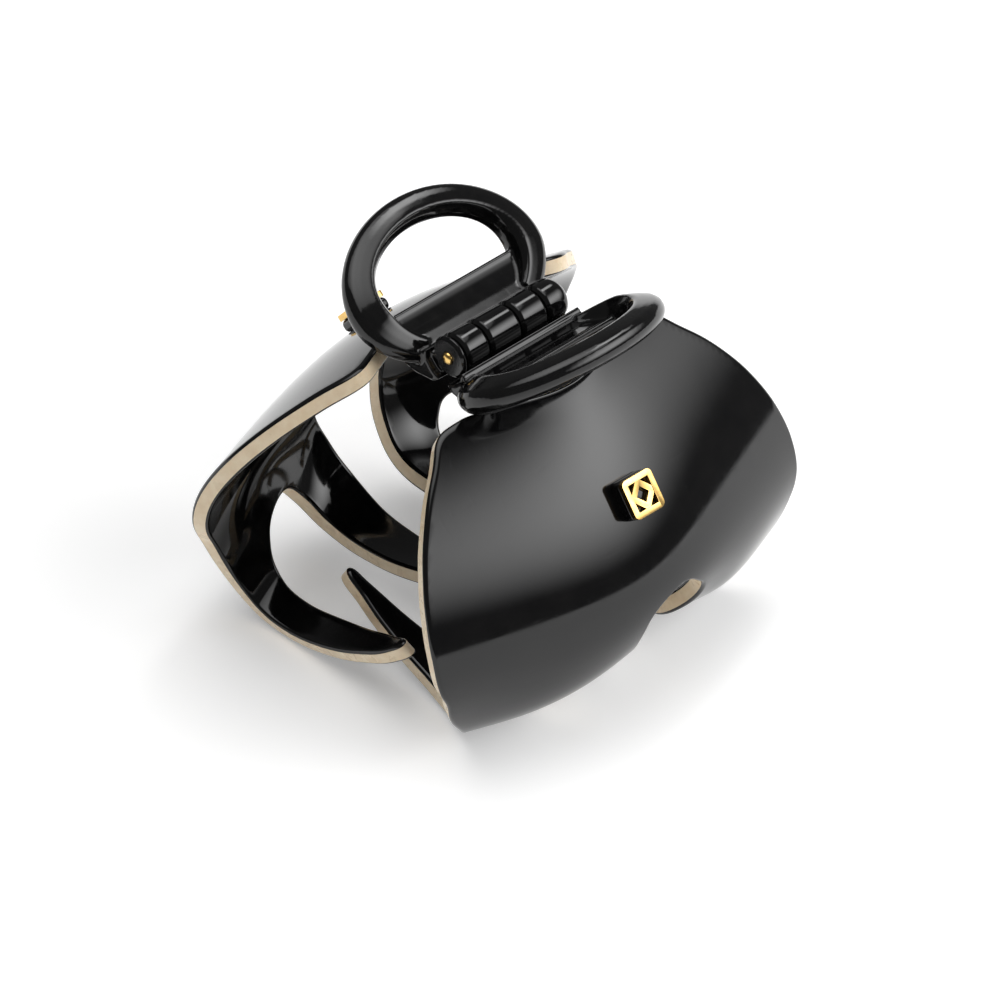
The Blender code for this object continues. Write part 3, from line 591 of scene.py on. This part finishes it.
moulded_black, moulded_shader = ordinary("moulded_black", (0.003, 0.003, 0.0034), 0.08)
tinted(moulded_black, moulded_shader, 500, 0.35, 0.7, (0.0025, 0.0025, 0.0028),
       (0.005, 0.0048, 0.0048))
polished(moulded_black, moulded_shader, 0.06, 0.12, 0.01 * MM, 0.0015 * MM)
for jaw in ("back", "front"):
    solids = [skinned(loop_rings(jaw)), skinned(foot_rings(jaw)), skinned(web_rings(jaw)),
              prism(jaw, SHELF, -SHELF_HALF_WIDTH, SHELF_HALF_WIDTH)]
    solids += [prism(jaw, ARM, start, end) for start, end in KNUCKLES[jaw]]
    bracket = made_of(f"{jaw}_jaw_bracket", solids, moulded_black)
    knuckles = made_of(f"{jaw}_knuckles", [turned(knuckle(*span)) for span in KNUCKLES[jaw]],
                       moulded_black, KNUCKLE_SHARP)
    bpy.ops.object.select_all(action="DESELECT")
    bpy.context.view_layer.objects.active = bracket
    bracket.select_set(True)
    fused = bracket.modifiers.new("moulding", "REMESH")
    fused.mode = "VOXEL"
    fused.voxel_size = MOULD_GRAIN
    fused.use_smooth_shade = True
    fillets = bracket.modifiers.new("fillets", "SMOOTH")
    fillets.factor = 0.5
    fillets.iterations = MOULD_SOFTENING
    for step in ("moulding", "fillets"):
        bpy.ops.object.modifier_apply(modifier=step)
    knuckles.select_set(True)
    bpy.ops.object.join()
    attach(bracket, f"{jaw}_jaw")
    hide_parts(f"{jaw}_bracket")

# ---------------------------------------------------------------- hinge pin
# A turned brass pin with a domed head, pushed through the barrel from the left as far as the
# blind end of the last knuckle.
PIN_PROFILE = ((-13.95, 0), (-13.9, 0.45), (-13.75, 0.85), (-13.5, 1.12), (-13.25, 1.2),
               (-13.2, 1.0), (11.3, 1.0), (11.6, 0.75), (11.6, 0))
PIN_STEPS = 48
polished_brass, brass_shader = ordinary("polished_brass", (0.90, 0.60, 0.20), 0.16, 1.0)
tinted(polished_brass, brass_shader, 900, 0.3, 0.75, (0.80, 0.50, 0.15), (0.93, 0.64, 0.24))
polished(polished_brass, brass_shader, 0.10, 0.24, 0.004 * MM, 0.002 * MM)
hinge_pin = made_of("barrel_pin", [turned(PIN_PROFILE, PIN_STEPS)], polished_brass)
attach(hinge_pin, "back_jaw")
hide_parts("hinge_pin")

# ---------------------------------------------------------------- torsion spring
# A close coil of spring wire round the pin, inside the middle knuckle. One straight end is held
# in the front bracket and the other in the back one. On the real clip it winds as the clip opens;
# here it is one fixed piece, attached to neither jaw.
WIRE_RADIUS, COIL_RADIUS, COIL_TURNS = 0.35, 2.3, 5
COIL_START, COIL_END, COIL_STEPS = -5.4, -0.5, 32
TANG_START, TANG_END, TANG_BEND = -7.5, 0.9, 0.6
spring_steel, steel_shader = ordinary("spring_steel", (0.55, 0.55, 0.56), 0.28, 1.0)
tinted(spring_steel, steel_shader, 1500, 0.3, 0.75, (0.42, 0.42, 0.44), (0.62, 0.62, 0.62))
polished(spring_steel, steel_shader, 0.22, 0.38, 0.003 * MM, 0.002 * MM)
route = [(TANG_START, 0, COIL_RADIUS), (COIL_START - TANG_BEND, 0, COIL_RADIUS)]
for part_turn in np.linspace(0, 1, COIL_TURNS * COIL_STEPS + 1):
    turn = 2 * math.pi * COIL_TURNS * part_turn
    route.append((COIL_START + (COIL_END - COIL_START) * part_turn,
                  COIL_RADIUS * math.sin(turn), COIL_RADIUS * math.cos(turn)))
route += [(COIL_END + TANG_BEND, 0, COIL_RADIUS), (TANG_END, 0, COIL_RADIUS)]
wire = bpy.data.curves.new("coil_spring", "CURVE")
wire.dimensions = "3D"
wire.bevel_depth = WIRE_RADIUS * MM
wire.bevel_resolution = 4
wire.use_fill_caps = True
run = wire.splines.new("POLY")
run.points.add(len(route) - 1)
for knot, (x, y, z) in zip(run.points, route):
    knot.co = (x * MM, y * MM, z * MM + HINGE_HEIGHT, 1)
drawn_wire = bpy.data.objects.new("coil_spring_line", wire)
bpy.context.scene.collection.objects.link(drawn_wire)
bpy.context.view_layer.update()
coil_mesh = bpy.data.meshes.new_from_object(drawn_wire)
bpy.data.objects.remove(drawn_wire)
coil_mesh.shade_smooth()
coil_mesh.materials.append(spring_steel)
coil_spring = bpy.data.objects.new("coil_spring", coil_mesh)
bpy.context.scene.collection.objects.link(coil_spring)
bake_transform(coil_spring)
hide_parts("torsion_spring")

# ---------------------------------------------------------------- badges
# A small brass frame with a lozenge in it on a black block, near the top of each jaw. Two brass
# tacks hold it, driven through the sheet from the badge's side.
BADGE_PLACE = 0.155
BADGE_WIDTH, BADGE_HEIGHT = 7.0 * MM, 7.4 * MM
BLOCK_TOP, FACE_TOP = 2.35 * MM, 3.5 * MM
BADGE_RIM, BADGE_CORNER, CORNER_STEPS = 1.1 * MM, 1.0 * MM, 6
FACE_EDGE, BLOCK_EDGE, EDGE_STEPS = 0.14 * MM, 0.35 * MM, 3
BLOCK_SUNK, LOZENGE_BOTTOM, LOZENGE_DROP = 0.1 * MM, 0.02 * MM, 0.15 * MM
TACK_RADIUS, TACK_PITCH, TACK_STEPS = 0.6 * MM, 3.6 * MM, 24
TACK_PROFILE = ((0, -SHEET - 0.25 * MM), (TACK_RADIUS * 0.8, -SHEET - 0.2 * MM),
                (TACK_RADIUS * 1.1, -SHEET), (TACK_RADIUS, -SHEET + 0.1 * MM),
                (TACK_RADIUS, 1.3 * MM), (0, 1.3 * MM))


def seat_of(jaw):
    """The badge's seat on the sheet: its place, with X across, Y down the jaw and Z outward."""
    step = 0.5 * MM
    spots = pressed(jaw, np.array((0, step, 0)),
                    np.array((BADGE_PLACE, BADGE_PLACE, BADGE_PLACE + step / BLANK_LENGTH)),
                    np.zeros(3))
    here, right, down = (Vector(spot) for spot in spots)
    right = (right - here).normalized()
    outward = right.cross(down - here).normalized()
    return (Matrix.Translation(here)
            @ Matrix((right, outward.cross(right), outward)).transposed().to_4x4())


def plate(name, width, height, bottom, top, corner, finish):
    """A flat block with rounded corners, lying on the seat."""
    bpy.ops.object.select_all(action="DESELECT")
    bpy.ops.mesh.primitive_cube_add(size=1, location=(0, 0, (bottom + top) / 2),
                                    scale=(width, height, top - bottom))
    bpy.ops.object.transform_apply(location=True, rotation=False, scale=True)
    block = bpy.context.object
    block.name = name
    if corner:
        bpy.ops.object.mode_set(mode="EDIT")
        bpy.ops.mesh.select_all(action="DESELECT")
        bpy.ops.object.mode_set(mode="OBJECT")
        for edge in block.data.edges:
            ends = [block.data.vertices[i].co for i in edge.vertices]
            edge.select = abs(ends[0].z - ends[1].z) > (top - bottom) / 2
        bpy.ops.object.mode_set(mode="EDIT")
        bpy.ops.mesh.select_mode(type="EDGE")
        bpy.ops.mesh.bevel(offset=corner, segments=CORNER_STEPS)
        bpy.ops.object.mode_set(mode="OBJECT")
    block.data.materials.clear()
    block.data.materials.append(finish)
    return block


def lozenge(name, width, height, bottom, top):
    """A block on a diamond outline."""
    block = plate(name, 1, 1, bottom, top, 0, polished_brass)
    for vert in block.data.vertices:
        x, y = vert.co.x, vert.co.y
        vert.co.x, vert.co.y = (x - y) * width / 2, (x + y) * height / 2
    return block


def combine(block, tool, operation):
    """Cuts a tool out of a block or adds it."""
    step = block.modifiers.new("cut", "BOOLEAN")
    step.operation = operation
    step.solver = "EXACT"
    step.object = tool
    bpy.context.view_layer.objects.active = block
    bpy.ops.object.modifier_apply(modifier="cut")
    bpy.data.objects.remove(tool)


def finished(block, edge, seat):
    """Breaks a block's edges and puts it on its seat."""
    soften = block.modifiers.new("edges", "BEVEL")
    soften.width = edge
    soften.segments = EDGE_STEPS
    soften.limit_method = "ANGLE"
    soften.angle_limit = math.radians(40)
    bpy.context.view_layer.objects.active = block
    bpy.ops.object.modifier_apply(modifier="edges")
    block.data.transform(seat)
    block.data.shade_smooth()
    block.data.set_sharp_from_angle(angle=math.radians(35))
    return block


for jaw in ("back", "front"):
    seat = seat_of(jaw)
    block = plate(f"{jaw}_badge_block", BADGE_WIDTH, BADGE_HEIGHT, -BLOCK_SUNK,
                  BLOCK_TOP, BADGE_CORNER, moulded_black)
    face = plate(f"{jaw}_badge_frame", BADGE_WIDTH, BADGE_HEIGHT, BLOCK_TOP, FACE_TOP,
                 BADGE_CORNER, polished_brass)
    window = plate("window", BADGE_WIDTH - 2 * BADGE_RIM, BADGE_HEIGHT - 2 * BADGE_RIM,
                   BLOCK_TOP - MM, FACE_TOP + MM, 0, polished_brass)
    combine(face, window, "DIFFERENCE")
    reach_w, reach_h = BADGE_WIDTH - BADGE_RIM, BADGE_HEIGHT - BADGE_RIM
    combine(face, lozenge("lozenge", reach_w, reach_h, BLOCK_TOP + LOZENGE_BOTTOM,
                          FACE_TOP - LOZENGE_DROP), "UNION")
    combine(face, lozenge("eye", reach_w / 2, reach_h / 2, BLOCK_TOP - MM, FACE_TOP + MM),
            "DIFFERENCE")
    tacks = []
    for label, y in (("upper", -TACK_PITCH / 2), ("lower", TACK_PITCH / 2)):
        turns = np.linspace(0, 2 * math.pi, TACK_STEPS, endpoint=False)
        rings = [[tuple(seat @ Vector((radius * math.cos(turn), y + radius * math.sin(turn), z)))
                  for radius, z in TACK_PROFILE] for turn in turns]
        tacks.append((made_of(f"{jaw}_badge_tack_{label}", [skinned(rings, closed=True)],
                              polished_brass), f"pin_{label}", "brass"))
    for piece, node, slot in [(finished(block, BLOCK_EDGE, seat), "base", "black_moulding"),
                              (finished(face, FACE_EDGE, seat), "face", "brass"), *tacks]:
        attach(piece, f"{jaw}_jaw")
        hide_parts(f"{jaw}_badge_{node}")

# ---------------------------------------------------------------- floor and light
# A pale floor under the clip. A broad soft light stands in front of it and to the right, another
# hangs over it, and a narrow one gives the mouldings their fine bright lines.
FLOOR_SIZE, FLOOR_DROP, FLOOR_GLOW = 6, 0.5 * MM, 0.30
bpy.ops.mesh.primitive_plane_add(size=FLOOR_SIZE, location=(0, 0, -FLOOR_DROP))
floor = bpy.context.object
floor.name = "floor"
paper, paper_shader = ordinary("white_paper", (0.9, 0.9, 0.9), 0.7)
paper_shader.inputs["Emission Color"].default_value = (1, 1, 1, 1)
paper_shader.inputs["Emission Strength"].default_value = FLOOR_GLOW
floor.data.materials.append(paper)


def softbox(name, place, target, width, height, power, reach):
    """A soft light that fades to nothing at a reach from its middle, across and up its face."""
    light = bpy.data.lights.new(name, "AREA")
    light.shape = "RECTANGLE"
    light.size = width
    light.size_y = height
    light.energy = power
    light.use_nodes = True
    nodes, links = light.node_tree.nodes, light.node_tree.links
    spot = nodes.new("ShaderNodeNewGeometry")
    from_centre = nodes.new("ShaderNodeVectorMath")
    from_centre.operation = "SUBTRACT"
    from_centre.inputs[1].default_value = (0.5, 0.5, 0)
    links.new(spot.outputs["Parametric"], from_centre.inputs[0])
    shrink = nodes.new("ShaderNodeVectorMath")
    shrink.operation = "DIVIDE"
    shrink.inputs[1].default_value = (*reach, 1)
    links.new(from_centre.outputs[0], shrink.inputs[0])
    length = nodes.new("ShaderNodeVectorMath")
    length.operation = "LENGTH"
    links.new(shrink.outputs[0], length.inputs[0])
    fade = nodes.new("ShaderNodeMapRange")
    fade.interpolation_type = "SMOOTHSTEP"
    fade.inputs["From Min"].default_value = 0
    fade.inputs["From Max"].default_value = 1
    fade.inputs["To Min"].default_value = 1
    fade.inputs["To Max"].default_value = 0
    links.new(length.outputs["Value"], fade.inputs["Value"])
    links.new(fade.outputs["Result"], nodes["Emission"].inputs["Strength"])
    lamp = bpy.data.objects.new(name, light)
    bpy.context.scene.collection.objects.link(lamp)
    lamp.location = place
    lamp.rotation_euler = (Vector(target) - Vector(place)).to_track_quat("-Z", "Y").to_euler()


bpy.context.scene.view_settings.view_transform = "Standard"
softbox("key", (0.66, -0.94, 0.84), (0, 0, 0.03), 2.4, 1.4, 54, (0.62, 0.52))
softbox("top", (0.0, 0.3, 1.5), (0, 0, 0), 1.8, 1.6, 24, (0.9, 0.9))
softbox("strip", (0.75, 0.35, 1.15), (0, 0, 0.06), 0.28, 0.9, 5, (0.8, 0.6))
world = bpy.data.worlds.new("studio")
bpy.context.scene.world = world
world.use_nodes = True
world.node_tree.nodes["Background"].inputs["Color"].default_value = (1, 1, 1, 1)
world.node_tree.nodes["Background"].inputs["Strength"].default_value = 0.12
